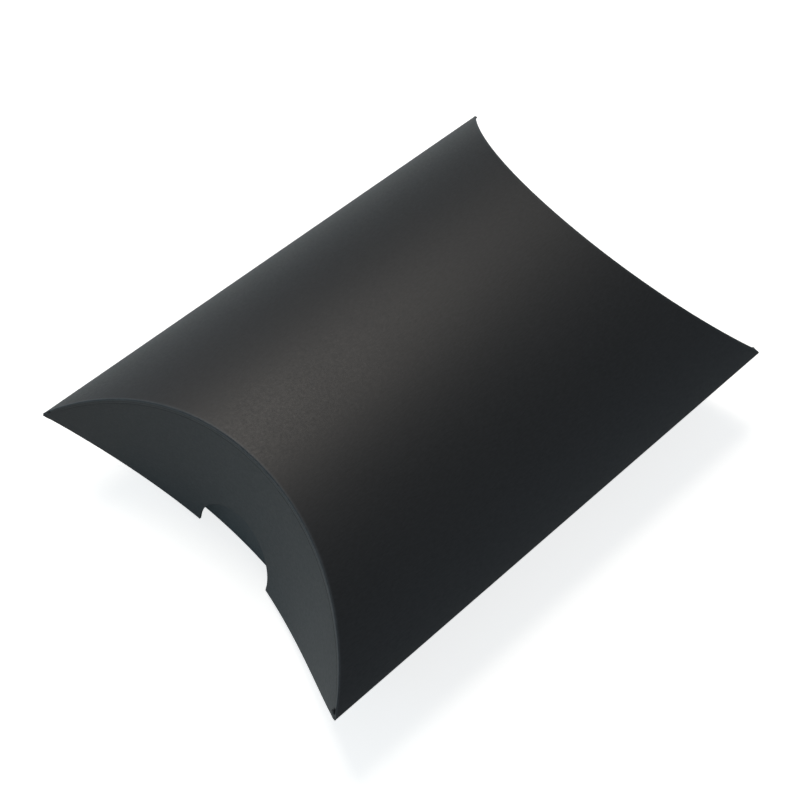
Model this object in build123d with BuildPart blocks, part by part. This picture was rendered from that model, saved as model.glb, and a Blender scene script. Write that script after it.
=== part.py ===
from build123d import *
import math
import os

# Pillow box of black card: two bowed panels joined by long side folds, each end shut by curved flaps.
# Millimetres. +X to the right, +Z up, the front end with the thumb notch seen first is at -Y.
# The origin is the lowest point of the belly, midway along the box.

# Overall sizes of the folded box
box_width = 90.0
box_length = 130.0
box_height = 35.0
crease_angle = 48.05
inner_crease_angle = 44.0
outer_flap_spring = 4.0
card_thickness = 0.45

# Bowed section of a panel, from the ridge to the side fold
edge_slope = 52.6
ridge_handle_share = 0.604
edge_handle_share = 0.119

# Side folds, seam and glue
fold_width = 1.5
nose_radius = 0.4
nose_gap = 0.05
tab_width = 13.0
tab_end_gap = 3.5
tab_taper = 9.0
glue_thickness = 0.1
glue_clearance = 0.01
glue_width = 9.0
glue_length = 96.0

# End flaps and their curved creases
nest_setback = 1.0
panel_gap = 0.3
panel_bend_gap = 1.25
flap_gap = 0.1
flap_bend_gap = 0.3
flap_droop_share = 1.0
inner_flap_stop = 0.4
leaf_gap = 0.3
leaf_shares = (0.10, 0.29, 0.48, 0.68, 0.90)
notch_radius = 10.9
notch_offset = -0.6
notch_rise = 2.3

# Room by which every cutting shape overruns the card
overrun = 40.0
curve_points = 9
edge_steps = 8
nudge_share = 0.001

half_width = box_width / 2
half_length = box_length / 2
half_height = box_height / 2
crease_ratio = math.tan(math.radians(crease_angle))
inner_crease_ratio = math.tan(math.radians(inner_crease_angle))
slope = math.radians(edge_slope)

# Handles of the cubic curve that half of the section follows
ridge_handle = ridge_handle_share * half_width
edge_handle = edge_handle_share * half_width
section_handles = (
    (0.0, half_height),
    (ridge_handle, half_height),
    (half_width - edge_handle * math.cos(slope), edge_handle * math.sin(slope)),
    (half_width, 0.0),
)


def section_point(share, depth=0.0, bow=1.0):
    """Point of the top panel's section, below its outer face by depth; share runs -1 to 1 across.

    A bow under one gives the shallower section of a flap that springs open a little.
    """
    t = abs(share)
    weights = ((1 - t) ** 3, 3 * t * (1 - t) ** 2, 3 * t * t * (1 - t), t ** 3)
    x = sum(w * p[0] for w, p in zip(weights, section_handles))
    z = sum(w * p[1] for w, p in zip(weights, section_handles)) * bow
    angle = section_slope(t, bow)
    x -= depth * math.sin(angle)
    z -= depth * math.cos(angle)
    return (math.copysign(x, share), z)


def section_slope(share, bow=1.0):
    """Downward slope of the section in radians at a share of the half width."""
    t = abs(share)
    weights = ((1 - t) ** 2, 2 * t * (1 - t), t * t)
    steps = [(b[0] - a[0], b[1] - a[1]) for a, b in zip(section_handles, section_handles[1:])]
    run = sum(w * p[0] for w, p in zip(weights, steps))
    fall = sum(w * p[1] for w, p in zip(weights, steps))
    return math.atan2(-fall * bow, run)


def section_row(start, end, depth, bow=1.0):
    """Points along the section at one depth, from the start share to the end share."""
    count = curve_points if start * end >= 0 else 2 * curve_points - 1
    step = (end - start) / (count - 1)
    return [section_point(start + step * i, depth, bow) for i in range(count)]


def share_step(share, distance):
    """Change of share that moves a point by a short distance along the section."""
    ahead = section_point(share + nudge_share)
    behind = section_point(share - nudge_share)
    speed = math.hypot(ahead[0] - behind[0], ahead[1] - behind[1]) / (2 * nudge_share)
    return distance / speed


def share_from_edge(distance):
    """Share of the section that lies a distance up the slope from the side fold."""
    share = 1.0
    for step in range(edge_steps):
        share -= share_step(share, distance / edge_steps)
    return share


def strip_edges(start, end, upper_depth, lower_depth, bow=1.0):
    """Section of a strip of card between two shares and two depths."""
    upper = section_row(start, end, upper_depth, bow)
    lower = section_row(start, end, lower_depth, bow)
    with BuildLine() as outline:
        Spline(*upper)
        Spline(*lower)
        Line(upper[0], lower[0])
        Line(upper[-1], lower[-1])
    return outline.edges()


def crease_cutter(setback, ratio, gap, bend_gap, above):
    """Solid on one side of the fold between the top panel and its flap, opened by a gap.

    The gap is measured in the crease's own plane. It swells between the ridge and the corners,
    where a bending flap needs the most room.
    """
    side = 1 if above else -1
    scale = math.hypot(1, ratio)
    rise = half_height * scale
    row = []
    for x, z in section_row(-1, 1, 0.0):
        fall = 1 - z / half_height
        local_gap = gap + (bend_gap - gap) * 4 * fall * (1 - fall)
        row.append((x, z * scale - side * local_gap))
    far = side * (rise + overrun)
    with BuildPart() as cutter:
        with BuildSketch(crease_plane(setback, ratio)):
            with BuildLine():
                Spline(*row)
                Polyline(
                    row[0],
                    (row[0][0] - overrun, row[0][1]),
                    (row[0][0] - overrun, far),
                    (row[-1][0] + overrun, far),
                    (row[-1][0] + overrun, row[-1][1]),
                    row[-1],
                )
            make_face()
        extrude(amount=overrun, both=True)
    return cutter.part


# Planes that the sections and the cuts are drawn on
section_plane = Plane(origin=(0, 0, half_height), x_dir=(1, 0, 0), z_dir=(0, -1, 0))
middle_plane = Plane.XY.offset(half_height)


def crease_plane(setback, ratio):
    """Plane through the front corners and the top of a front crease, facing out of the box."""
    return Plane(
        origin=(0, setback - half_length, half_height),
        x_dir=(1, 0, 0),
        z_dir=(0, -1, ratio),
    )


def flap_turn(ratio, spring):
    """Angle in radians between a panel's straight lines and those of its closed flap."""
    return 2 * math.atan2(1, ratio) - math.radians(spring)


def flap_plane(setback, turn):
    """Plane square to a front flap's straight lines, through the corners, facing up."""
    return Plane(
        origin=(0, setback - half_length, half_height),
        x_dir=(1, 0, 0),
        z_dir=(0, math.cos(turn), math.sin(turn)),
    )


def flap_bow(ratio, turn):
    """Depth of a flap's section as a share of its panel's section."""
    return ratio * math.sin(turn) - math.cos(turn)


outer_turn = flap_turn(crease_ratio, outer_flap_spring)
inner_turn = flap_turn(inner_crease_ratio, 0.0)

# Room left at the folds, cut once for all the pieces that meet there
outer_panel_cut = crease_cutter(0.0, crease_ratio, panel_gap, panel_bend_gap, above=False)
outer_flap_cut = crease_cutter(0.0, crease_ratio, flap_gap, flap_bend_gap, above=True)
inner_panel_cut = crease_cutter(
    nest_setback, inner_crease_ratio, panel_gap, panel_bend_gap, above=False
)
inner_flap_cut = crease_cutter(
    nest_setback, inner_crease_ratio, flap_gap, flap_bend_gap, above=True
)

outer_nose_cut = crease_cutter(0.0, crease_ratio, nose_gap, nose_gap, above=False)
inner_nose_cut = outer_nose_cut.mirror(middle_plane)

fold_share = share_from_edge(fold_width)
tab_share = share_from_edge(tab_width)
glue_share = share_from_edge(fold_width + glue_width)

# Free edges: the outer flaps are cut in a slanting plane from corner to corner, the inner ones level
fall_share = (1 + flap_droop_share) / math.tan(outer_turn)
free_edge_run = (crease_ratio - fall_share) / flap_droop_share


def free_edge_cutter(setback, outer):
    """Solid below a front flap's free edge."""
    middle = half_height if outer else half_height + inner_flap_stop
    run = free_edge_run * overrun if outer else overrun
    drop = overrun if outer else 0.0
    corner = setback - half_length
    with BuildPart() as cutter:
        with BuildSketch(Plane.YZ):
            with BuildLine():
                Polyline(
                    (corner, middle),
                    (corner + run, middle - drop),
                    (corner + run, middle - 2 * overrun),
                    (corner - overrun, middle - 2 * overrun),
                    (corner - overrun, middle),
                    close=True,
                )
            make_face()
        extrude(amount=half_width + overrun, both=True)
    return cutter.part


outer_free_edge = free_edge_cutter(0.0, outer=True)
inner_free_edge = free_edge_cutter(nest_setback, outer=False)

pieces = {}

# Top panel, with its right edge over the seam
with BuildPart() as top_panel:
    with BuildSketch(section_plane):
        make_face(strip_edges(-fold_share, 1.0, 0.0, card_thickness))
    extrude(amount=half_length, both=True)
    add(outer_panel_cut, mode=Mode.SUBTRACT)
    add(outer_panel_cut.mirror(Plane.XZ), mode=Mode.SUBTRACT)
pieces["top_panel"] = top_panel

# Bottom panel, drawn as a top panel and turned over
with BuildPart() as bottom_panel:
    with BuildSketch(section_plane):
        make_face(strip_edges(-fold_share, fold_share, 0.0, card_thickness))
    extrude(amount=half_length, both=True)
    add(inner_panel_cut, mode=Mode.SUBTRACT)
    add(inner_panel_cut.mirror(Plane.XZ), mode=Mode.SUBTRACT)
    mirror(about=middle_plane, mode=Mode.REPLACE)
pieces["bottom_panel"] = bottom_panel

# Left side fold, a rounded nose of card between the two panels
nose_inset = card_thickness / math.sin(slope)
fold_outer = section_point(fold_share, 0.0)
fold_inner = section_point(fold_share, card_thickness)
with BuildPart() as left_side_fold:
    with BuildSketch(section_plane):
        with BuildLine():
            Polyline(
                (-fold_outer[0], fold_outer[1]),
                (-half_width, 0.0),
                (-fold_outer[0], -fold_outer[1]),
                (-fold_inner[0], -fold_inner[1]),
                (nose_inset - half_width, 0.0),
                (-fold_inner[0], fold_inner[1]),
                close=True,
            )
        make_face()
        fillet(vertices().sort_by(Axis.X)[0], radius=nose_radius)
    extrude(amount=half_length, both=True)
    for cutter in (outer_nose_cut, inner_nose_cut):
        add(cutter, mode=Mode.SUBTRACT)
        add(cutter.mirror(Plane.XZ), mode=Mode.SUBTRACT)
pieces["left_side_fold"] = left_side_fold

# Right side fold, which turns up from the bottom panel and in under the top panel's edge
seam_depth = card_thickness + glue_thickness
seam_inset = seam_depth / math.sin(slope)
seam_nose = (half_width - seam_inset / 2, -seam_inset / 2 * math.tan(slope))
seam_upper = section_point(fold_share, seam_depth)
seam_lower = section_point(fold_share, seam_depth + card_thickness)
with BuildPart() as right_side_fold:
    with BuildSketch(section_plane):
        with BuildLine():
            Polyline(
                seam_upper,
                seam_nose,
                (fold_outer[0], -fold_outer[1]),
                (fold_inner[0], -fold_inner[1]),
                (seam_nose[0] - nose_inset, seam_nose[1]),
                seam_lower,
                close=True,
            )
        make_face()
        fillet(vertices().sort_by(Axis.X)[-1], radius=nose_radius)
    extrude(amount=half_length, both=True)
    for cutter in (outer_nose_cut, inner_nose_cut):
        add(cutter, mode=Mode.SUBTRACT)
        add(cutter.mirror(Plane.XZ), mode=Mode.SUBTRACT)
pieces["right_side_fold"] = right_side_fold

# Glue tab, with its ends cut back clear of the flaps
tab_end = half_length - tab_end_gap
tab_inner = section_point(tab_share)[0] - card_thickness
with BuildPart() as glue_tab:
    with BuildSketch(section_plane):
        make_face(strip_edges(tab_share, fold_share, seam_depth, seam_depth + card_thickness))
    extrude(amount=half_length, both=True)
    with BuildSketch(Plane.XY):
        with BuildLine():
            Polyline(
                (tab_inner, tab_taper - tab_end),
                (half_width, -tab_end),
                (half_width, tab_end),
                (tab_inner, tab_end - tab_taper),
                close=True,
            )
        make_face()
    extrude(amount=box_height, mode=Mode.INTERSECT)
pieces["glue_tab"] = glue_tab

# Line of glue between the tab and the top panel
with BuildPart() as glue_line:
    with BuildSketch(section_plane):
        make_face(strip_edges(
            glue_share, fold_share, card_thickness + glue_clearance, seam_depth - glue_clearance
        ))
    extrude(amount=glue_length / 2, both=True)
pieces["glue_line"] = glue_line

# End flaps. Each bends along its height as it opens, so it is made of upright leaves of card
leaves = [("centre", -leaf_shares[0], leaf_shares[0])]
for number, (start, end) in enumerate(zip(leaf_shares, leaf_shares[1:]), start=1):
    leaves.append((f"left_{number}", -end, -start))
    leaves.append((f"right_{number}", start, end))


def flap_leaf(start, end, setback, outer):
    """One upright leaf of a front flap, standing in the top panel's crease."""
    low = start + (0.0 if start == -leaf_shares[-1] else share_step(start, leaf_gap / 2))
    high = end - (0.0 if end == leaf_shares[-1] else share_step(end, leaf_gap / 2))
    turn = outer_turn if outer else inner_turn
    bow = flap_bow(crease_ratio if outer else inner_crease_ratio, turn)
    with BuildPart() as leaf:
        with BuildSketch(flap_plane(setback, turn)):
            make_face(strip_edges(low, high, 0.0, -card_thickness, bow))
        extrude(amount=overrun, both=True)
        add(outer_flap_cut if outer else inner_flap_cut, mode=Mode.SUBTRACT)
        add(outer_free_edge if outer else inner_free_edge, mode=Mode.SUBTRACT)
        if outer:
            with BuildSketch(section_plane):
                with Locations((notch_offset, notch_rise - flap_droop_share * half_height)):
                    Circle(notch_radius)
                    Rectangle(2 * notch_radius, notch_radius, align=(Align.CENTER, Align.MAX))
            extrude(amount=box_length, both=True, mode=Mode.SUBTRACT)
    return leaf


for end_name in ("front", "back"):
    for side_name in ("outer", "inner"):
        outer = side_name == "outer"
        setback = 0.0 if outer else nest_setback
        for leaf_name, start, end in leaves:
            shaped = flap_leaf(start, end, setback, outer).part
            if end_name == "back":
                shaped = shaped.mirror(Plane.XZ)
            if not outer:
                shaped = shaped.mirror(middle_plane)
            with BuildPart() as leaf:
                add(shaped)
            pieces[f"{end_name}_{side_name}_flap_{leaf_name}"] = leaf

os.makedirs("parts", exist_ok=True)
for name, piece in pieces.items():
    piece.part.label = name
    export_step(piece.part, f"parts/{name}.step")
    print(name, round(piece.part.volume, 2))
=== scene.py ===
"""Pillow box of matt black card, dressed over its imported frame.

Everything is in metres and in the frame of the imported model: +X runs across the box towards the
glued seam, +Y from the front end to the back end, +Z up, and the belly's lowest line is at Z = 0.
The card is modelled as closed sheets of its real thickness. Each panel and each end flap is a grid
whose columns are the straight lines of the bent card, and the creases are rolled beads.
"""

import logging
import math
from dataclasses import dataclass
from enum import Enum
from itertools import product
from typing import Iterable, Sequence

import bmesh
import bpy
import numpy as np
from mathutils import Matrix, Vector

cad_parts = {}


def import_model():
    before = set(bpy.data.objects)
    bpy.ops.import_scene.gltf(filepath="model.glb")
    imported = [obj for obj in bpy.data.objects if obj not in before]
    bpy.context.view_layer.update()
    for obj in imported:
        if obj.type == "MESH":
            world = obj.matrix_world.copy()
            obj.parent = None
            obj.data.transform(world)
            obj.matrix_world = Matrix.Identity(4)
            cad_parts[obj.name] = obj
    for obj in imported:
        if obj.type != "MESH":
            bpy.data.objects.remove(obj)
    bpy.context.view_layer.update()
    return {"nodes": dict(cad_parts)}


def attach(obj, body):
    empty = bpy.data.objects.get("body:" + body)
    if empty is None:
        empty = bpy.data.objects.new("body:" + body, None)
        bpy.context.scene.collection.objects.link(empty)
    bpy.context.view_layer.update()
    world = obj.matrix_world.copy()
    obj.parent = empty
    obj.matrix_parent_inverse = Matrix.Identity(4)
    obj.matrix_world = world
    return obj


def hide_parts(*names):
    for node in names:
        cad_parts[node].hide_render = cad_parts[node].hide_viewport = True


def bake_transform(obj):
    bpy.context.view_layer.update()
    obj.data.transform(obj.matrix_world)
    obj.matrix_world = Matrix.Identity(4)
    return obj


LOG = logging.getLogger("pillow_box")
MM = 0.001
WHITE = "#ffffff"

# Distances from a bead at which a sheet has rows, closest at the scored groove.
NEAR_ROWS = MM * np.array(
    [0.12, 0.25, 0.4, 0.55, 0.7, 0.8, 0.88, 0.96, 1.04, 1.15, 1.35, 1.7, 2.3]
)
# Rows round half a bead.
BEAD_ROWS = 8
# Along a crease the paler line of rubbed fibres and painted highlight is strongest at this share of
# the way from its ridge to the end of its bead.
RUB_AND_HIGHLIGHT_PLACE = 0.4


class Place(Enum):
    """A choice that the names of the frame's nodes hold."""

    @property
    def label(self) -> str:
        """The choice as those names spell it."""
        return self.name.lower()


class End(Place):
    """The two ends of the box, with the sign of Y that each one lies on."""

    FRONT = -1
    BACK = 1


class Side(Place):
    """The panel that a flap hangs on, with the sign of Z that its crease lies on."""

    OUTER = 1
    INNER = -1


class Hand(Place):
    """The two halves of a flap, with the sign of X that each one lies on."""

    LEFT = -1
    RIGHT = 1


def repeats(size: float) -> float:
    """Scale of a noise or cell texture whose features lie a size in metres apart."""
    return 1.0 / size


def linear(code: str) -> tuple[float, float, float, float]:
    """Linear colour with alpha 1 of an sRGB code such as "#242527"."""
    values = (int(code[i:i + 2], 16) / 255 for i in (1, 3, 5))
    return (*(v / 12.92 if v <= 0.04045 else ((v + 0.055) / 1.055) ** 2.4 for v in values), 1.0)


class Tree:
    """Node tree of a material or of the world."""

    def __init__(self, owner: bpy.types.Material | bpy.types.World) -> None:
        """Empty the owner's node tree.

        Args:
            owner: material or world that the nodes belong to.
        """
        owner.use_nodes = True
        self.nodes = owner.node_tree.nodes
        self.links = owner.node_tree.links
        self.nodes.clear()

    def add(self, kind: str, inputs: dict | None = None, **settings) -> bpy.types.Node:
        """Add a node with its settings and links.

        A Mix node takes its share at 0 and its colours at 6 and 7, and its result is output 2. A
        MapRange node takes the value at 0, its range at 1 and 2 and its new range at 3 and 4, which
        is 0 to 1 where they are left out.

        Args:
            kind: Blender's name of the node type, without "ShaderNode".
            inputs: values, output sockets, or nodes that give their first output, by the name or
                the number of the input.
            settings: properties of the node.

        Returns:
            The new node.
        """
        node = self.nodes.new("ShaderNode" + kind)
        for key, value in settings.items():
            setattr(node, key, value)
        for key, value in (inputs or {}).items():
            if isinstance(value, bpy.types.Node):
                value = value.outputs[0]
            if isinstance(value, bpy.types.NodeSocket):
                self.links.new(value, node.inputs[key])
            else:
                node.inputs[key].default_value = value
        return node


@dataclass(frozen=True)
class CardFinish:
    """Look of one kind of card surface.

    Real fibres are 0.03 mm wide, far finer than a pixel of the photograph, which shows 0.2 mm. They
    are drawn 0.26 mm wide and stretched along the box, the way that the pulp was laid.

    Attributes:
        name: name of the material.
        shade: sRGB colour of the dyed fibres.
        light: sRGB colour of the paler fibres among them.
        worn_and_highlight: sRGB colour where a crease or an edge is rubbed, which along the crease
            beads is also a painted highlight.
        roughness: mean roughness.
        relief: height of the fibre relief.
        specular: specular level.
        dust: sRGB colour of the specks of dust.
        nap: sRGB tint of the sheen on the raised fibres.
        fibre_width: width of a drawn fibre.
        fibre_squeeze: scale of the fibre pattern along the box, over its scale across.
        flock_width: width of a flock of fibres.
        cloud_width: width of the clouds in the pulp.
        dust_gap: distance between the places where a speck may lie.
        dust_pick: the cells' random values between which specks begin to be there.
        dust_edge: where a speck's edge starts and stops, over the gap.
    """

    name: str
    shade: str
    light: str
    worn_and_highlight: str
    roughness: float
    relief: float
    specular: float
    dust: str = "#8a8a86"
    nap: str = "#c4d2dc"
    fibre_width: float = 0.26 * MM
    fibre_squeeze: float = 0.22
    flock_width: float = 0.67 * MM
    cloud_width: float = 18.0 * MM
    dust_gap: float = 10.5 * MM
    dust_pick: tuple[float, float] = (0.8, 0.82)
    dust_edge: tuple[float, float] = (0.012, 0.02)

    def material(self) -> bpy.types.Material:
        """Build dyed card: felted fibres, clouded pulp, rubbed creases with a painted highlight
        along their beads, and a few specks of dust.

        Returns:
            The material.
        """
        material = bpy.data.materials.new(self.name)
        tree = Tree(material)
        place = tree.add("TexCoord").outputs["Object"]
        along = tree.add("Mapping", {"Vector": place, "Scale": (1.0, self.fibre_squeeze, 1.0)})
        fibre, flock, cloud = (
            tree.add("TexNoise", {
                "Vector": where, "Scale": repeats(size), "Detail": detail, "Roughness": rough,
            })
            for where, size, detail, rough in (
                (along, self.fibre_width, 4.0, 0.6),
                (place, self.flock_width, 5.0, 0.65),
                (place, self.cloud_width, 3.0, 0.5),
            )
        )
        cells = tree.add("TexVoronoi", {"Vector": place, "Scale": repeats(self.dust_gap)})
        pick = tree.add("SeparateColor", {0: cells.outputs["Color"]})
        few = tree.add("MapRange", {0: pick, 1: self.dust_pick[0], 2: self.dust_pick[1]})
        dot = tree.add("MapRange", {
            0: cells.outputs["Distance"], 1: self.dust_edge[0], 2: self.dust_edge[1], 3: 1, 4: 0,
        })
        dust = tree.add("Math", {0: few, 1: dot}, operation="MULTIPLY")
        # Paler where rubbed: worn fibres, and along the crease beads a painted highlight as well.
        wear = tree.add("Attribute", attribute_name="wear").outputs["Fac"]
        patchy = tree.add("MapRange", {0: flock, 1: 0.3, 2: 0.7, 3: 0.55})
        rub_and_highlight = tree.add("Math", {0: wear, 1: patchy}, operation="MULTIPLY")
        colour = linear(self.shade)
        for share, over in (
            (tree.add("MapRange", {0: fibre, 1: 0.35, 2: 0.7}), self.light),
            (tree.add("MapRange", {0: cloud, 1: 0.3, 2: 0.75, 4: 0.2}), self.light),
            (rub_and_highlight, self.worn_and_highlight),
            (tree.add("MapRange", {0: dust, 4: 0.6}), self.dust),
        ):
            mixed = tree.add("Mix", {0: share, 6: colour, 7: linear(over)}, data_type="RGBA")
            colour = mixed.outputs[2]
        grain = tree.add("MapRange", {
            0: flock, 1: 0.25, 2: 0.75, 3: self.roughness - 0.05, 4: self.roughness + 0.07,
        })
        drift = tree.add("MapRange", {0: cloud, 1: 0.3, 2: 0.7, 3: -0.01, 4: 0.01})
        height = tree.add("Math", {0: flock, 1: fibre}, operation="ADD")
        bump = tree.add("Bump", {"Height": height, "Distance": self.relief, "Strength": 0.8})
        shader = tree.add("BsdfPrincipled", {
            "Base Color": colour,
            "Roughness": tree.add("Math", {0: grain, 1: drift}, operation="ADD"),
            "Normal": bump,
            "Specular IOR Level": self.specular,
            "Sheen Weight": 0.06,
            "Sheen Roughness": 0.45,
            "Sheen Tint": linear(self.nap),
        })
        tree.add("OutputMaterial", {"Surface": shader})
        return material


@dataclass(frozen=True)
class GlueFinish:
    """Cream PVA glue, laid wet and dried in the air: cloudy, gently rippled, with a satin skin.

    Attributes:
        pale: sRGB colour where it is thin.
        deep: sRGB colour where it is thick.
        cloud_width: width of the clouds that uneven drying left.
        ripple_width: width of the ripples on its skin.
        relief: height of the ripples.
    """

    pale: str = "#d8d2bf"
    deep: str = "#c9c2ab"
    cloud_width: float = 2.4 * MM
    ripple_width: float = 0.77 * MM
    relief: float = 0.02 * MM

    def material(self) -> bpy.types.Material:
        """Build the dried glue.

        Returns:
            The material.
        """
        material = bpy.data.materials.new("dried_glue")
        tree = Tree(material)
        place = tree.add("TexCoord").outputs["Object"]
        cloud = tree.add("TexNoise", {
            "Vector": place, "Scale": repeats(self.cloud_width), "Detail": 3.0,
        })
        ripple = tree.add("TexNoise", {
            "Vector": place, "Scale": repeats(self.ripple_width), "Detail": 2.0,
        })
        colour = tree.add("Mix", {0: cloud, 6: linear(self.pale), 7: linear(self.deep)},
                          data_type="RGBA")
        shader = tree.add("BsdfPrincipled", {
            "Base Color": colour.outputs[2],
            "Roughness": tree.add("MapRange", {0: cloud, 1: 0.3, 2: 0.7, 3: 0.3, 4: 0.42}),
            "Normal": tree.add("Bump", {"Height": ripple, "Distance": self.relief}),
        })
        tree.add("OutputMaterial", {"Surface": shader})
        return material


@dataclass(frozen=True)
class FloorFinish:
    """Painted sweep, matt and pale: white to the camera and in reflections, with the shadow kept.

    Attributes:
        dark: sRGB colour of its darker clouds.
        light: sRGB colour of its paler clouds.
        cloud_width: width of the clouds.
        seen_glow: light added for the camera.
        mirrored_glow: light added in reflections.
        mirrored_tint: sRGB colour of that light.
    """

    dark: str = "#efefee"
    light: str = "#f2f2f1"
    cloud_width: float = 170.0 * MM
    seen_glow: float = 0.77
    mirrored_glow: float = 0.26
    mirrored_tint: str = "#c4e2ee"

    def material(self) -> bpy.types.Material:
        """Build the floor's paint.

        Returns:
            The material.
        """
        material = bpy.data.materials.new("pale_floor")
        tree = Tree(material)
        place = tree.add("TexCoord").outputs["Object"]
        cloud = tree.add("TexNoise", {
            "Vector": place, "Scale": repeats(self.cloud_width), "Detail": 2.0,
        })
        paint = tree.add("Mix", {0: cloud, 6: linear(self.dark), 7: linear(self.light)},
                         data_type="RGBA")
        matt = tree.add("BsdfDiffuse", {"Color": paint.outputs[2]})
        rays = tree.add("LightPath").outputs
        seen = tree.add("Math", {0: rays["Is Camera Ray"], 1: rays["Is Transmission Ray"]},
                        operation="MAXIMUM")
        bright = tree.add("Math", {0: seen, 1: self.seen_glow}, operation="MULTIPLY")
        mirrored = tree.add("Math", {0: rays["Is Glossy Ray"], 1: self.mirrored_glow},
                            operation="MULTIPLY")
        tint = tree.add("Mix", {0: seen, 6: linear(self.mirrored_tint), 7: linear(WHITE)},
                        data_type="RGBA")
        glow = tree.add("Emission", {
            "Color": tint.outputs[2],
            "Strength": tree.add("Math", {0: bright, 1: mirrored}, operation="ADD"),
        })
        both = tree.add("AddShader", {0: matt, 1: glow})
        tree.add("OutputMaterial", {"Surface": both})
        return material


# Boxboard pressed from pulp and dyed through, with a matt coat on its faces: nearly black, soft
# broad highlights and a fine tooth. A scored crease or a rubbed corner bares paler fibres, and
# along a crease's bead that paler line is also a painted highlight.
FACE = CardFinish("black_card", "#242527", "#2d2e31", "#474c51", 0.48, 0.012 * MM, 0.42)
# The same board where a steel rule cut it: open fibres with no coat, so rougher and duller.
EDGE = CardFinish("card_cut_edge", "#1f2022", "#34363a", "#4a4d52", 0.8, 0.02 * MM, 0.25)


@dataclass(frozen=True)
class BoxForm:
    """Sizes that the pieces of the folded box share, in metres unless the name says otherwise.

    Attributes:
        half_width: from the middle to a side fold.
        half_length: from the middle to a corner, before wear.
        half_height: from mid-height to a panel's ridge.
        card: thickness of the card.
        crease_angle_deg: angle between the top crease's plane and an upright one.
        inner_crease_angle_deg: the same for the bottom crease.
        edge_slope_deg: slope of a panel at its side fold.
        ridge_handle_share: the section curve's handle at the ridge, over the half width.
        edge_handle_share: its handle at the side fold, over the half width.
        nest_setback: how far the inner crease stands back from the outer one.
        fold_width: how far a side fold's piece reaches up the panels.
        bead_radius: radius of the outer crease's bead.
        inner_bead_radius: radius of the inner crease's bead.
        bead_full_height: height over mid-height at which a bead has its full radius.
        bead_least: share of its radius that a bead keeps at the corners.
        lap_share: how far from the crease a wall's hidden face starts, over the wall.
        tip_height: height within which the corners are worn back.
        tip_pull: how far they are worn back.
        lean_middle_deg: how far the outer flap springs open at its middle.
        lean_rise_deg: how much more it does towards the corners.
        lean_skew_deg: how much more on the right, and less on the left.
        lean_round: share of the half width over which the lean turns round at the middle.
    """

    half_width: float = 45.0 * MM
    half_length: float = 65.0 * MM
    half_height: float = 17.5 * MM
    card: float = 0.45 * MM
    crease_angle_deg: float = 48.05
    inner_crease_angle_deg: float = 44.0
    edge_slope_deg: float = 52.6
    ridge_handle_share: float = 0.604
    edge_handle_share: float = 0.119
    nest_setback: float = 1.0 * MM
    fold_width: float = 1.5 * MM
    bead_radius: float = 0.4 * MM
    inner_bead_radius: float = 0.3 * MM
    bead_full_height: float = 1.0 * MM
    bead_least: float = 0.4
    lap_share: float = 0.2
    tip_height: float = 0.6 * MM
    tip_pull: float = 0.5 * MM
    lean_middle_deg: float = 0.8
    lean_rise_deg: float = 10.2
    lean_skew_deg: float = 5.0
    lean_round: float = 0.05

    def crease_ratio(self, side: Side) -> float:
        """How far a panel's crease runs inwards for each unit that it rises."""
        angle = self.crease_angle_deg if side is Side.OUTER else self.inner_crease_angle_deg
        return math.tan(math.radians(angle))

    def fold_angle(self, side: Side) -> float:
        """Angle in radians between a panel's straight lines and those of its fully folded flap."""
        return 2 * math.atan2(1.0, self.crease_ratio(side))


class Section:
    """Bowed half section of a panel, a cubic curve from the ridge to the side fold."""

    def __init__(self, form: BoxForm, samples: int = 4001) -> None:
        """Tabulate the curve.

        With t from 0 at the ridge to 1 at the fold, a point is the sum of the four handles weighted
        by (1-t)^3, 3t(1-t)^2, 3t^2(1-t) and t^3, and its slope is that of the steps between the
        handles weighted by (1-t)^2, 2t(1-t) and t^2.

        Args:
            form: sizes of the box.
            samples: number of points in the table.
        """
        slope = math.radians(form.edge_slope_deg)
        edge = form.edge_handle_share * form.half_width
        handles = np.array([
            (0.0, form.half_height),
            (form.ridge_handle_share * form.half_width, form.half_height),
            (form.half_width - edge * math.cos(slope), edge * math.sin(slope)),
            (form.half_width, 0.0),
        ])
        t = np.linspace(0.0, 1.0, samples)[:, None]
        weights = np.hstack([(1 - t) ** 3, 3 * t * (1 - t) ** 2, 3 * t * t * (1 - t), t ** 3])
        rates = np.hstack([(1 - t) ** 2, 2 * t * (1 - t), t * t])
        points = weights @ handles
        steps = rates @ np.diff(handles, axis=0)
        self.share = t[:, 0]
        self.x = points[:, 0]
        self.z = points[:, 1]
        self.slope = np.arctan2(-steps[:, 1], steps[:, 0])

    def x_at(self, share: float) -> float:
        """Distance from the middle at a share of the half width's curve."""
        return float(np.interp(share, self.share, self.x))

    def share_at(self, x: np.ndarray) -> np.ndarray:
        """Share of the curve at distances from the middle, on either side."""
        return np.interp(np.abs(x), self.x, self.share)

    def height(self, x: np.ndarray) -> np.ndarray:
        """Height of the outer face above mid-height."""
        return np.interp(np.abs(x), self.x, self.z)

    def slope_at(self, x: np.ndarray) -> np.ndarray:
        """Downward slope of the face in radians."""
        return np.interp(np.abs(x), self.x, self.slope)

    def share_from_edge(self, distance: float) -> float:
        """Share of the curve that lies a distance up the slope from the side fold."""
        lengths = np.concatenate([[0.0], np.cumsum(np.hypot(np.diff(self.x), np.diff(self.z)))])
        return float(np.interp(lengths[-1] - distance, lengths, self.share))


@dataclass
class Sheet:
    """Two matching grids of points, shaped (columns, rows, 3), that bound a sheet of card.

    Attributes:
        outer: points of the face that shows on the closed box.
        inner: points of the other face.
        wear: share of rubbed surface at each point of the outer face, which along the crease beads
            is also a painted highlight.
    """

    outer: np.ndarray
    inner: np.ndarray
    wear: np.ndarray


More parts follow.
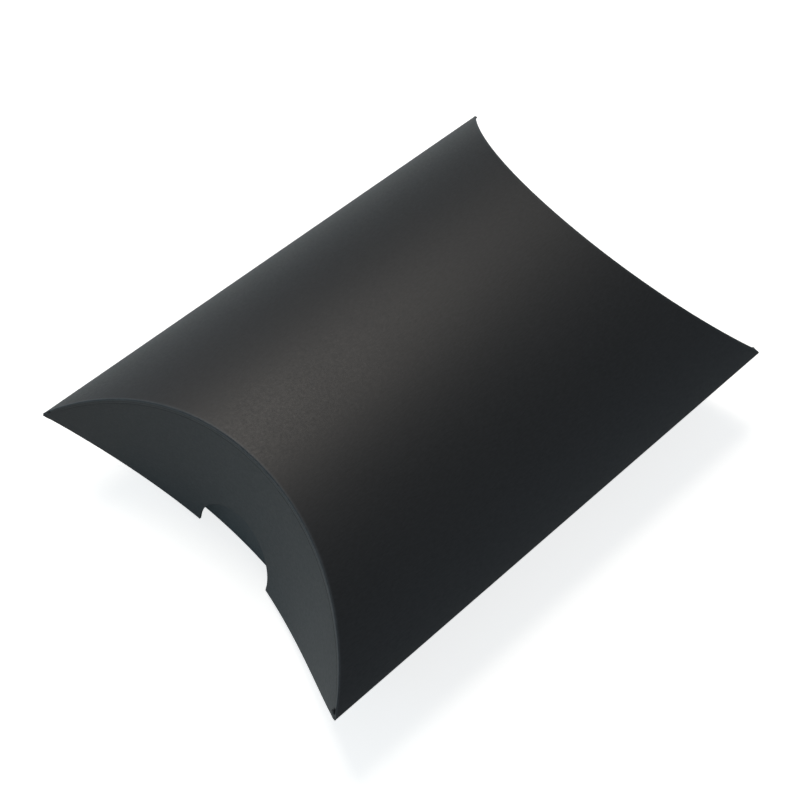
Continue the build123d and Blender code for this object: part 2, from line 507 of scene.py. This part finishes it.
@dataclass
class Workshop:
    """Turns sheets of card into objects of the scene.

    Attributes:
        face: material of the coated faces.
        edge: material of the cut edges.
        sharp_deg: angle past which the edge between two faces looks sharp.
    """

    face: bpy.types.Material
    edge: bpy.types.Material
    sharp_deg: float = 32.0

    def make(self, name: str, sheet: Sheet, cut: bool = True) -> bpy.types.Object:
        """Build a closed shell from a sheet.

        The outer grid's faces come first, then the inner grid's, then the four rims.

        Args:
            name: name of the object.
            sheet: its two grids.
            cut: whether its rims show as cut edges.

        Returns:
            The new object, with its faces outwards.
        """
        columns, rows, _ = sheet.outer.shape
        count = columns * rows
        number = np.arange(count).reshape(columns, rows)
        first, second = number[:-1, :-1].ravel(), number[1:, :-1].ravel()
        third, fourth = number[1:, 1:].ravel(), number[:-1, 1:].ravel()
        outer = np.stack([first, second, third, fourth], axis=1)
        inner = outer[:, ::-1] + count
        ring = np.concatenate([
            number[:, 0], number[-1, 1:], number[-2::-1, -1], number[0, -2:0:-1],
        ])
        after = np.roll(ring, -1)
        rims = np.stack([ring, ring + count, after + count, after], axis=1)
        faces = np.concatenate([outer, inner, rims])
        points = np.concatenate([sheet.outer.reshape(-1, 3), sheet.inner.reshape(-1, 3)])
        mesh = bpy.data.meshes.new(name)
        mesh.from_pydata(points.tolist(), [], faces.tolist())
        work = bmesh.new()
        work.from_mesh(mesh)
        bmesh.ops.recalc_face_normals(work, faces=work.faces[:])
        work.to_mesh(mesh)
        work.free()
        wear = mesh.attributes.new("wear", "FLOAT", "POINT")
        wear.data.foreach_set("value", np.tile(sheet.wear.ravel(), 2).astype(np.float32))
        mesh.materials.append(self.face)
        mesh.materials.append(self.edge)
        kinds = np.zeros(len(faces), dtype=np.int32)
        kinds[len(outer) + len(inner):] = int(cut)
        mesh.polygons.foreach_set("material_index", kinds)
        mesh.polygons.foreach_set("use_smooth", np.ones(len(faces), dtype=bool))
        mesh.set_sharp_from_angle(angle=math.radians(self.sharp_deg))
        mesh.update()
        piece = bpy.data.objects.new(name, mesh)
        bpy.context.scene.collection.objects.link(piece)
        LOG.info("made %s with %d faces", name, len(faces))
        return piece

    def rigid(self, name: str, sheet: Sheet, node: str, cut: bool = True) -> None:
        """Make a piece that rides on the box's body and stands for a node.

        Args:
            name: name of the object.
            sheet: its two grids.
            node: the node that it stands for.
            cut: whether its rims show as cut edges.
        """
        piece = self.make(name, sheet, cut)
        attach(piece, "box")
        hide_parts(node)


class Creases:
    """Where the curved creases run, and how the card turns at them."""

    def __init__(self, form: BoxForm) -> None:
        """Prepare the section.

        Args:
            form: sizes of the box.
        """
        self.form = form
        self.section = Section(form)
        self.fold_x = self.section.x_at(self.section.share_from_edge(form.fold_width))

    def lean(self, x: np.ndarray) -> np.ndarray:
        """Angle in radians by which an outer flap springs out of its folded place.

        With u the share of the half width's curve, signed as X, it is the middle's lean, plus the
        rise times the root of u^2 + c^2 less c, plus the skew times u. The small c rounds its turn
        at the middle.

        Args:
            x: places across the box.

        Returns:
            The angle at each place.
        """
        form = self.form
        share = self.section.share_at(x)
        signed = np.copysign(share, x)
        soft = np.sqrt(share ** 2 + form.lean_round ** 2) - form.lean_round
        return np.radians(
            form.lean_middle_deg + form.lean_rise_deg * soft + form.lean_skew_deg * signed
        )

    def turn(self, x: np.ndarray, side: Side) -> np.ndarray:
        """Angle in radians that the card turns through at a crease."""
        spring = self.lean(x) if side is Side.OUTER else np.zeros_like(x)
        return self.form.fold_angle(side) - spring

    def bead(self, x: np.ndarray, side: Side) -> np.ndarray:
        """Radius of the rolled crease, which shrinks in proportion to the height at the corners.

        Args:
            x: places across.
            side: the panel whose crease it is.

        Returns:
            The radius at each place.
        """
        form = self.form
        fade = np.clip(self.section.height(x) / form.bead_full_height, form.bead_least, 1.0)
        return (form.bead_radius if side is Side.OUTER else form.inner_bead_radius) * fade

    def out(self, x: np.ndarray, side: Side) -> np.ndarray:
        """Distance of a crease from the middle of the box's length.

        It is the half length, less the setback, less the crease's ratio times the height, less what
        the corners are worn back.

        Args:
            x: places across.
            side: the panel whose crease it is.

        Returns:
            The distance at each place.
        """
        setback = 0.0 if side is Side.OUTER else self.form.nest_setback
        height = self.section.height(x)
        run = self.form.crease_ratio(side) * height
        return self.form.half_length - setback - run - self.corner_pull(height)

    def corner_pull(self, height: np.ndarray) -> np.ndarray:
        """How far the worn corners stand back, a bell curve of the height over mid-height."""
        return self.form.tip_pull * np.exp(-(height / self.form.tip_height) ** 2)

    def wall(self, x: np.ndarray) -> np.ndarray:
        """Upright thickness of the bowed card, its own over the slope's cosine, as a column."""
        return (self.form.card / np.cos(self.section.slope_at(x)))[:, None]

    def stand(
        self, x: np.ndarray, out: np.ndarray, up: np.ndarray, end: End, side: Side
    ) -> np.ndarray:
        """Points from places across, distances from the middle of the length, and heights.

        Args:
            x: places across, one for each column.
            out: distances from the middle of the length, shaped (columns, rows).
            up: heights over mid-height on the top panel's side, shaped (columns, rows).
            end: the end that the distances run to.
            side: the side that the heights belong to.

        Returns:
            Points shaped (columns, rows, 3).
        """
        across = np.broadcast_to(x[:, None], out.shape)
        return np.stack([across, end.value * out, self.form.half_height + side.value * up], axis=2)


@dataclass
class CardPieces:
    """A sub-assembly of card.

    Attributes:
        creases: the creases that its pieces end at.
        shop: makes the objects.
    """

    creases: Creases
    shop: Workshop


@dataclass
class Panels(CardPieces):
    """The bowed top panel, whose right edge is cut over the seam, and the bottom panel.

    Attributes:
        half_columns: columns of each half.
        length_rows: rows along the box, counting one beside each crease.
        edge_room: least distance between the last two columns of the bottom panel.
        rub_width: width of the paler line along a crease, rubbed fibres and a painted highlight.
    """

    half_columns: int = 45
    length_rows: int = 41
    edge_room: float = 0.2 * MM
    rub_width: float = 0.35 * MM

    def build(self) -> None:
        """Make both panels, with columns at even shares of the section's curve."""
        section, fold_x = self.creases.section, self.creases.fold_x
        fold_share = float(section.share_at(np.array([fold_x]))[0])
        shares = np.concatenate([
            np.linspace(-fold_share, 0.0, self.half_columns),
            np.linspace(0.0, 1.0, self.half_columns + 1)[1:],
        ])
        across = np.copysign(np.interp(np.abs(shares), section.share, section.x), shares)
        self.shop.rigid("bowed_top_panel", self.sheet(across, Side.OUTER), "top_panel")
        across = np.append(across[across < fold_x - self.edge_room], fold_x)
        self.shop.rigid("bowed_bottom_panel", self.sheet(across, Side.INNER), "bottom_panel")

    def rim_rows(self, x: np.ndarray, side: Side) -> tuple[np.ndarray, ...]:
        """Rows of a panel from the middle of its bead to a little way in from the crease.

        With r the bead's radius and a the crease's turn, the tangent length is r tan(a/2), and the
        bead's point at angle p lies r tan(a/2) - r sin(p) in from the crease and r - r cos(p) down.
        The inner face runs on past the mitre, into the flap's wall, so that no gap shows when the
        flap opens.

        Args:
            x: places across.
            side: the panel.

        Returns:
            Distances in and depths of the outer face, those of the inner face, and the share of
            wear and painted highlight.
        """
        turn = self.creases.turn(x, side)[:, None]
        radius = self.creases.bead(x, side)[:, None]
        tangent = radius * np.tan(turn / 2)
        angle = turn / 2 * np.linspace(1.0, 0.0, BEAD_ROWS)[None, :]
        arc_in = tangent - radius * np.sin(angle)
        arc_down = radius * (1 - np.cos(angle))
        flat_in = tangent + NEAR_ROWS[None, :]
        outer_in = np.hstack([arc_in, flat_in])
        outer_down = np.hstack([arc_down, np.zeros_like(flat_in)])
        wall = self.creases.wall(x)
        corner = wall * self.creases.form.lap_share
        share = np.linspace(0.0, 1.0, outer_in.shape[1])[None, :]
        inner_in = corner + (outer_in[:, -1:] - corner) * share
        inner_down = np.broadcast_to(wall, inner_in.shape)
        # Paler line along the bead: rubbed fibres and a painted highlight.
        wear = np.exp(-((outer_in - tangent * RUB_AND_HIGHLIGHT_PLACE) / self.rub_width) ** 2)
        return outer_in, outer_down, inner_in, inner_down, wear

    def sheet(self, x: np.ndarray, side: Side) -> Sheet:
        """One bowed panel with half a bead along the crease at each end.

        Its rows run from crease to crease at even shares of the length, and each column stands at
        the section's height, less the bead's drop.

        Args:
            x: places of its columns across the box.
            side: OUTER for the top panel, INNER for the bottom one.

        Returns:
            The sheet.
        """
        crease = self.creases.out(x, side)[:, None]
        height = self.creases.section.height(x)[:, None]
        outer_in, outer_down, inner_in, inner_down, wear = self.rim_rows(x, side)
        limit = crease - outer_in[:, -1:]
        middle = np.linspace(-1.0, 1.0, self.length_rows)[None, 1:-1] * limit
        flat = np.zeros_like(middle)
        faces = []
        for rim, down in ((outer_in, outer_down), (inner_in, inner_down)):
            along = np.hstack([rim - crease, middle, (crease - rim)[:, ::-1]])
            up = height - np.hstack([down, flat + down[:, -1:], down[:, ::-1]])
            faces.append(self.creases.stand(x, along, up, End.BACK, side))
        return Sheet(*faces, np.hstack([wear, flat, wear[:, ::-1]]))


@dataclass
class SideFolds(CardPieces):
    """The rounded left fold, and the fold that turns up under the top panel's cut edge.

    Attributes:
        nose_radius: radius of a fold's nose.
        glue: thickness of the line of glue.
        stations: places along the box that have points.
        nose_points: points round a nose.
        lead_shares: shares of the straight leads beside it that have points.
        rub_height: height of the rubbed line along a nose.
        rub_least: wear along the line, which rises to 1 at the ends.
        rub_run: share of the half length over which the ends are rubbed.
    """

    nose_radius: float = 0.45 * MM
    glue: float = 0.1 * MM
    stations: int = 61
    nose_points: int = 13
    lead_shares: tuple[float, ...] = (0.33, 0.67)
    rub_height: float = 0.5 * MM
    rub_least: float = 0.5
    rub_run: float = 0.01

    def build(self) -> None:
        """Make both folds."""
        self.left()
        self.seam()

    def sweep(self, path: np.ndarray, depth: float) -> np.ndarray:
        """Carry a path from end to end of the box.

        Its ends follow the creases: they stand back by the crease's ratio times the distance from
        mid-height, and below it by a growing share of the setback, where the inner flap nests.

        Args:
            path: section as rows of X and height over mid-height.
            depth: how far below mid-height the fold reaches.

        Returns:
            Points shaped (path, stations, 3).
        """
        form = self.creases.form
        run = np.linspace(-1.0, 1.0, self.stations)[None, :]
        sunk = np.clip(-path[:, 1] / depth, 0.0, 1.0)
        run_in = form.crease_ratio(Side.OUTER) * np.abs(path[:, 1]) + form.nest_setback * sunk
        ends = form.half_length - run_in - self.creases.corner_pull(path[:, 1])
        length = run * ends[:, None]
        return np.stack([
            np.broadcast_to(path[:, :1], length.shape), length,
            np.broadcast_to(path[:, 1:], length.shape) + form.half_height,
        ], axis=2)

    def strip(self, outer: np.ndarray, inner: np.ndarray) -> Sheet:
        """A side fold, rubbed along its nose and most at its two ends.

        Args:
            outer: outer path of its section, as rows of X and height over mid-height.
            inner: inner path, with as many points.

        Returns:
            The sheet.
        """
        depth = abs(outer[-1, 1])
        run = np.linspace(-1.0, 1.0, self.stations)[None, :]
        nose = np.exp(-(outer[:, 1] / self.rub_height) ** 2)[:, None]
        ends = np.exp(-((1 - np.abs(run)) / self.rub_run) ** 2)
        wear = nose * (self.rub_least + (1 - self.rub_least) * ends)
        return Sheet(self.sweep(outer, depth), self.sweep(inner, depth), wear)

    def nose(self, corners: Sequence[Sequence[float]]) -> np.ndarray:
        """Path from one point round a rounded tip to another.

        With h half the tip's angle and r the radius, the arc's centre lies r / sin(h) from the tip
        along its bisector, and the arc touches the two leads r / tan(h) from the tip. With w the
        arc's whole turn, its point at a share s is the two touching points weighted by
        sin((1-s) w) and sin(s w), over sin(w).

        Args:
            corners: first point, tip and last point, each an X and a height.

        Returns:
            The path's points.
        """
        top, tip, bottom = np.array(corners, float)
        first = (top - tip) / np.linalg.norm(top - tip)
        second = (bottom - tip) / np.linalg.norm(bottom - tip)
        half = math.acos(float(first @ second)) / 2
        reach = self.nose_radius / math.tan(half)
        middle = (first + second) / np.linalg.norm(first + second)
        centre = tip + middle * self.nose_radius / math.sin(half)
        start, stop = tip + first * reach - centre, tip + second * reach - centre
        turn = math.pi - 2 * half
        step = np.linspace(0.0, 1.0, self.nose_points)[:, None]
        weighted = start * np.sin((1 - step) * turn) + stop * np.sin(step * turn)
        arc = centre + weighted / math.sin(turn)
        lead = [top + (arc[0] - top) * share for share in (0.0, *self.lead_shares)]
        tail = [arc[-1] + (bottom - arc[-1]) * share for share in (*self.lead_shares, 1.0)]
        return np.concatenate([lead, arc, tail])

    def bend(self, corners: Sequence[Sequence[float]]) -> np.ndarray:
        """Inner path with as many points as nose() gives: straight to a sharp tip and on.

        Args:
            corners: first point, tip and last point, each an X and a height.

        Returns:
            The path's points.
        """
        top, tip, bottom = np.array(corners, float)
        count = self.nose_points + 2 * (len(self.lead_shares) + 1)
        share = np.linspace(0.0, 2.0, count)[:, None]
        return np.where(share <= 1, top + (tip - top) * share, tip + (bottom - tip) * (share - 1))

    def face_point(self, x: float, depth: float) -> tuple[float, float]:
        """Point that lies a depth inside the top panel's outer face, square to its slope.

        Args:
            x: place across, on the face.
            depth: how far inside.

        Returns:
            X and height over mid-height.
        """
        place = np.array([x])
        slope = float(self.creases.section.slope_at(place)[0])
        height = float(self.creases.section.height(place)[0])
        return x - depth * math.sin(slope), height - depth * math.cos(slope)

    def left(self) -> None:
        """Make the rounded fold along the left side."""
        form, fold_x = self.creases.form, self.creases.fold_x
        x, z = self.face_point(fold_x, 0.0)
        inner_x, inner_z = self.face_point(fold_x, form.card)
        inset = form.card / math.sin(math.radians(form.edge_slope_deg))
        outer = self.nose([(-x, z), (-form.half_width, 0.0), (-x, -z)])
        tip = (inset - form.half_width, 0.0)
        inner = self.bend([(-inner_x, inner_z), tip, (-inner_x, -inner_z)])
        self.shop.rigid("rounded_left_fold", self.strip(outer, inner), "left_side_fold", cut=False)

    def seam(self) -> None:
        """Make the fold that turns up from the bottom panel and in under the cut edge."""
        form, fold_x = self.creases.form, self.creases.fold_x
        slope = math.radians(form.edge_slope_deg)
        x, z = self.face_point(fold_x, 0.0)
        inner_x, inner_z = self.face_point(fold_x, form.card)
        inset = form.card / math.sin(slope)
        back = (form.card + self.glue) / math.sin(slope) / 2
        tip = (form.half_width - back, -back * math.tan(slope))
        over = self.face_point(fold_x, form.card + self.glue)
        outer = self.nose([over, tip, (x, -z)])
        under = self.face_point(fold_x, 2 * form.card + self.glue)
        inner = self.bend([under, (tip[0] - inset, tip[1]), (inner_x, -inner_z)])
        self.shop.rigid("turned_seam_fold", self.strip(outer, inner), "right_side_fold", cut=False)


@dataclass
class EndFlaps(CardPieces):
    """The outer and inner flap of each end, in stretches that each join two neighbouring leaves.

    Attributes:
        notch_radius: radius of the outer flaps' thumb notch.
        notch_offset: X of the notch's middle.
        notch_rise: height of its centre above the belly.
        notch_side: distance of the columns beside its steep sides.
        inner_stop: height over mid-height at which an inner flap is cut level.
        leaf_shares: shares of the half width's curve at which the leaves end.
        tip_length: length of a flap at its corners, and the height over which it fades.
        groove_place: distance of the scored groove from the bead.
        groove_width: width of the groove.
        groove_depth: depth of the groove.
        wall_least: share of its thickness that the wall keeps at the corners.
        hem_share: extra thickness of the hidden hem along the crease, over the wall.
        hem_width: width of the hem.
        rub_width: width of the paler line along the crease, rubbed fibres and a painted highlight.
        rub_start: where the bead's wear and painted highlight is read, over the tangent length.
        room: flap length under which the rows are drawn together.
        room_least: share to which they are drawn together at most.
        edge_ease: distance between the last two rows.
        body_rows: rows between those near the crease and the edge.
        plain_columns: columns of a stretch without the notch.
        notch_columns: columns round half the notch.
        rest_columns: columns of such a stretch beyond it.
    """

    notch_radius: float = 10.9 * MM
    notch_offset: float = -0.6 * MM
    notch_rise: float = 2.3 * MM
    notch_side: float = 0.01 * MM
    inner_stop: float = 0.4 * MM
    leaf_shares: tuple[float, ...] = (0.10, 0.29, 0.48, 0.68, 0.90)
    tip_length: float = 0.8 * MM
    groove_place: float = 0.88 * MM
    groove_width: float = 0.12 * MM
    groove_depth: float = 0.05 * MM
    wall_least: float = 0.2
    hem_share: float = 1.5
    hem_width: float = 1.2 * MM
    rub_width: float = 0.3 * MM
    rub_start: float = 0.3
    room: float = 6.0 * MM
    room_least: float = 0.1
    edge_ease: float = 0.25 * MM
    body_rows: int = 21
    plain_columns: int = 15
    notch_columns: int = 44
    rest_columns: int = 8

    def build(self) -> None:
        """Make both halves of all four flaps."""
        for end, side, hand in product(End, Side, Hand):
            self.half(end, side, hand)

    def half(self, end: End, side: Side, hand: Hand) -> None:
        """Make one half of a flap as stretches, from its middle to a corner.

        Args:
            end: the end it closes.
            side: the panel it hangs on.
            hand: the half.
        """
        prefix = f"{end.label}_{side.label}_flap"
        for start, stop, bend, first, second in self.stretches():
            if side is Side.INNER:
                stop = min(stop, self.creases.section.x_at(self.leaf_shares[-1]))
            across = self.columns(start, stop, hand, side is Side.OUTER)
            body = f"{prefix}_centre" if first == "centre" else f"{prefix}_{hand.label}_{first}"
            other = f"{prefix}_{hand.label}_{second}"
            piece = self.shop.make(f"bent_{other}", self.sheet(across, end, side))
            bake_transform(piece)
            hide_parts(other, *([body] if first == "centre" else []))

    def stretches(self) -> Iterable[tuple[float, float, float, str, str]]:
        """Stretches of half a flap, each from the middle of one leaf to the middle of the next.

        The last one runs on to the corner.

        Returns:
            For each, its start, its end, where its bend ends, and the two leaves that it joins.
        """
        section, shares = self.creases.section, self.leaf_shares
        middles = [0.0] + [(a + b) / 2 for a, b in zip(shares, shares[1:])]
        ends = middles[1:-1] + [1.0]
        for number, (start, stop, bend) in enumerate(zip(middles, ends, middles[1:])):
            places = (section.x_at(share) for share in (start, stop, bend))
            yield (*places, f"{number}" if number else "centre", f"{number + 1}")

    def columns(self, start: float, stop: float, hand: Hand, notched: bool) -> np.ndarray:
        """Places of the columns of a stretch, crowded along the thumb notch's steep sides.

        Round the notch a column lies r sin(p) from its middle, with p in even steps.

        Args:
            start: distance of the stretch's start from the middle.
            stop: distance of its end.
            hand: the half that it is in.
            notched: whether the flap has a notch.

        Returns:
            The places, from start to stop.
        """
        sign = hand.value
        if not notched or start > self.notch_radius:
            return np.linspace(start, stop, self.plain_columns) * sign
        first = math.asin(-sign * self.notch_offset / self.notch_radius)
        angles = np.linspace(first, math.pi / 2, self.notch_columns)
        arc = sign * self.notch_radius * np.sin(angles) + self.notch_offset
        step = sign * self.notch_side
        rest = np.linspace(arc[-1] + step, stop * sign, self.rest_columns)
        return np.concatenate([arc[:-1], [arc[-1] - step], rest])

    def sheet(self, x: np.ndarray, end: End, side: Side) -> Sheet:
        """A stretch of an end flap, from the middle of its bead to its free edge.

        A point at a distance s from the crease lies s cos(a) out and s sin(a) down, where a is the
        crease's turn, and the card's other face lies a wall's thickness inside it. The groove is a
        bell curve cut square to the face. The wall thins out at the corners, and a hidden hem along
        the crease keeps it closed when the flap opens.

        Args:
            x: places of its columns across the box.
            end: the end it closes.
            side: the panel it hangs on.

        Returns:
            The sheet.
        """
        form, creases = self.creases.form, self.creases
        turn = creases.turn(x, side)[:, None]
        radius = creases.bead(x, side)[:, None]
        height = creases.section.height(x)[:, None]
        crease = creases.out(x, side)[:, None]
        tangent = radius * np.tan(turn / 2)
        length = self.length(x, side, turn, height)
        # Distances of the rows from the crease: near it, over the body, and the edge itself.
        room = np.clip((length - tangent) / self.room, self.room_least, 1.0)
        near = tangent + NEAR_ROWS[None, :] * room
        share = np.linspace(0.0, 1.0, self.body_rows + 1)[None, 1:]
        body = near[:, -1:] + (length - self.edge_ease * room - near[:, -1:]) * share
        along = np.hstack([near, body, length])
        # The outer face: half the bead, then the straight lines with the groove.
        bead = np.linspace(0.0, 1.0, BEAD_ROWS)[None, :]
        angle = turn * (0.5 + 0.5 * bead)
        arc_out = radius * np.sin(angle) - tangent
        arc_down = radius * (1 - np.cos(angle))
        from_groove = along - tangent - self.groove_place
        dent = self.groove_depth * np.exp(-(from_groove / self.groove_width) ** 2)
        outer_out = np.hstack([arc_out, along * np.cos(turn) - dent * np.sin(turn)])
        outer_down = np.hstack([arc_down, along * np.sin(turn) + dent * np.cos(turn)])
        # The inner face: as many rows, from the lap to the edge, a wall and hem inside.
        wall = creases.wall(x) * np.clip(height / form.bead_full_height, self.wall_least, 1.0)
        corner = wall * form.lap_share
        steps = np.hstack([bead * 0.5 * tangent, along - 0.5 * tangent])
        inside = corner + (length - corner) * (steps / steps[:, -1:])
        depth = wall * (1 + self.hem_share * np.exp(-(inside / self.hem_width) ** 2))
        inner_out = inside * np.cos(turn) - depth * np.sin(turn)
        inner_down = inside * np.sin(turn) + depth * np.cos(turn)
        # Paler line along the bead: rubbed fibres and a painted highlight.
        from_crease = np.hstack([np.zeros_like(arc_out) + self.rub_start * tangent, along])
        wear = np.exp(-((from_crease - tangent * RUB_AND_HIGHLIGHT_PLACE) / self.rub_width) ** 2)
        return Sheet(
            creases.stand(x, crease + outer_out, height - outer_down, end, side),
            creases.stand(x, crease + inner_out, height - inner_down, end, side),
            wear,
        )

    def length(
        self, x: np.ndarray, side: Side, turn: np.ndarray, height: np.ndarray
    ) -> np.ndarray:
        """Length of a flap's straight lines, from the crease to the free edge or the thumb notch.

        A line that drops by h at a turn a is h / sin(a) long. The notch's arch stands over the
        belly by the rise plus the root of r^2 - u^2, with u the distance from the notch's middle.

        Args:
            x: places across.
            side: the flap.
            turn: the crease's turn at each place, as a column.
            height: the crease's height over mid-height, as a column.

        Returns:
            The lengths, as a column.
        """
        form = self.creases.form
        if side is Side.INNER:
            return (height - self.inner_stop) / np.sin(turn)
        length = 2 * height / math.sin(form.fold_angle(side))
        length = length + self.tip_length * np.exp(-((height / self.tip_length) ** 2))
        across = (x[:, None] - self.notch_offset) / self.notch_radius
        arch = self.notch_rise + self.notch_radius * np.sqrt(np.clip(1 - across ** 2, 0.0, None))
        to_arch = (height + form.half_height - arch) / np.sin(turn)
        return np.where(np.abs(across) < 1.0, np.minimum(length, to_arch), length)


@dataclass
class HiddenSeam:
    """The tab and the line of glue inside the seam, which are the frame's own meshes.

    Attributes:
        nodes: objects of the frame by their names.
        card: material of the tab.
        glue: material of the line of glue.
    """

    nodes: dict
    card: bpy.types.Material
    glue: bpy.types.Material

    def build(self) -> None:
        """Dress both pieces."""
        for name, material in (("glue_tab", self.card), ("glue_line", self.glue)):
            mesh = self.nodes[name].data
            mesh.materials.clear()
            mesh.materials.append(material)
            LOG.info("dressed %s in %s", name, material.name)


@dataclass(frozen=True)
class Lamp:
    """One soft area light that faces the box.

    Attributes:
        name: name of the light.
        place: position in metres.
        size: width and height of the panel in metres.
        power: power in watts.
        colour: sRGB colour.
        aim: point that it faces, in metres.
    """

    name: str
    place: tuple[float, float, float]
    size: tuple[float, float]
    power: float
    colour: str
    aim: tuple[float, float, float] = (0.0, 0.0, 0.018)

    def hang(self) -> None:
        """Put the light in the scene."""
        data = bpy.data.lights.new(self.name, "AREA")
        data.shape = "RECTANGLE"
        data.size, data.size_y = self.size
        data.energy = self.power
        data.color = linear(self.colour)[:3]
        light = bpy.data.objects.new(self.name, data)
        light.location = self.place
        towards = Vector(self.aim) - light.location
        light.rotation_euler = towards.to_track_quat("-Z", "Y").to_euler()
        bpy.context.scene.collection.objects.link(light)
        LOG.info("hung %s at %s", self.name, self.place)


@dataclass(frozen=True)
class Studio:
    """Floor, lights, world and camera.

    Attributes:
        lamps: the soft lights.
        floor_reach: half the floor's side.
        floor_drop: how far it lies below the belly, clear of the opened flaps' bends.
        sky: sRGB colour of the daylight, which the camera sees as white.
        sky_strength: strength of the daylight.
        sensor_mm: width of the camera's sensor.
        lens_mm: focal length.
        camera_place: position in metres.
        camera_turn_deg: turn of the camera about the upright axis.
        camera_dip_deg: how far below level it looks.
        camera_roll_deg: roll about its own axis.
    """

    lamps: tuple[Lamp, ...] = (
        Lamp("key", (-0.45, 0.15, 0.78), (0.42, 0.42), 3.7, "#fff6ec"),
        Lamp("front_fill", (-0.75, -0.62, 0.26), (0.5, 0.35), 1.15, "#b4e0f2"),
        Lamp("left_fill", (-0.9, 0.0, 0.30), (0.5, 0.8), 0.72, "#f0f6ff"),
        Lamp("right_fill", (0.85, 0.45, 0.35), (0.8, 0.6), 0.5, "#cfe0f5"),
    )
    floor_reach: float = 4.0
    floor_drop: float = 0.6 * MM
    sky: str = "#dcebf2"
    sky_strength: float = 0.19
    sensor_mm: float = 36.0
    lens_mm: float = 74.039
    camera_place: tuple[float, float, float] = (0.117157, -0.155035, 0.315356)
    camera_turn_deg: float = 37.736
    camera_dip_deg: float = 57.598
    camera_roll_deg: float = 9.807

    def build(self) -> None:
        """Make the surroundings."""
        self.floor()
        for lamp in self.lamps:
            lamp.hang()
        self.world()
        self.camera()

    def floor(self) -> None:
        """Lay a wide pale floor just under the belly."""
        mesh = bpy.data.meshes.new("floor")
        reach, down = self.floor_reach, -self.floor_drop
        corners = [(x * reach, y * reach, down) for x, y in ((-1, -1), (1, -1), (1, 1), (-1, 1))]
        mesh.from_pydata(corners, [], [(0, 1, 2, 3)])
        mesh.materials.append(FloorFinish().material())
        floor = bpy.data.objects.new("floor", mesh)
        bpy.context.scene.collection.objects.link(floor)
        LOG.info("laid %s", floor.name)

    def world(self) -> None:
        """Set soft even daylight, which the camera sees as white at a strength of 1."""
        world = bpy.data.worlds.new("studio")
        tree = Tree(world)
        seen = tree.add("LightPath").outputs["Is Camera Ray"]
        tint = tree.add("Mix", {0: seen, 6: linear(self.sky), 7: linear(WHITE)}, data_type="RGBA")
        level = tree.add("MapRange", {0: seen, 3: self.sky_strength})
        light = tree.add("Background", {"Color": tint.outputs[2], "Strength": level})
        tree.add("OutputWorld", {"Surface": light})
        bpy.context.scene.world = world
        LOG.info("set the daylight to %s", self.sky_strength)

    def camera(self) -> None:
        """Place the camera where the photograph was taken from."""
        data = bpy.data.cameras.new("camera")
        data.sensor_width = self.sensor_mm
        data.lens = self.lens_mm
        camera = bpy.data.objects.new("camera", data)
        turn = Matrix.Rotation(math.radians(self.camera_turn_deg), 4, "Z")
        dip = Matrix.Rotation(math.pi / 2 - math.radians(self.camera_dip_deg), 4, "X")
        roll = Matrix.Rotation(math.radians(self.camera_roll_deg), 4, "Z")
        camera.matrix_world = Matrix.Translation(self.camera_place) @ (turn @ dip) @ roll
        bpy.context.scene.collection.objects.link(camera)
        bpy.context.scene.camera = camera
        bpy.context.scene.view_settings.view_transform = "Standard"
        LOG.info("placed the camera at %s", self.camera_place)


def main() -> None:
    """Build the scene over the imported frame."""
    logging.basicConfig(level=logging.INFO)
    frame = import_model()
    face, edge, glue = FACE.material(), EDGE.material(), GlueFinish().material()
    creases, shop = Creases(BoxForm()), Workshop(face, edge)
    for pieces in (Panels, SideFolds, EndFlaps):
        pieces(creases, shop).build()
    HiddenSeam(frame["nodes"], face, glue).build()
    Studio().build()


if __name__ == "__main__":
    main()
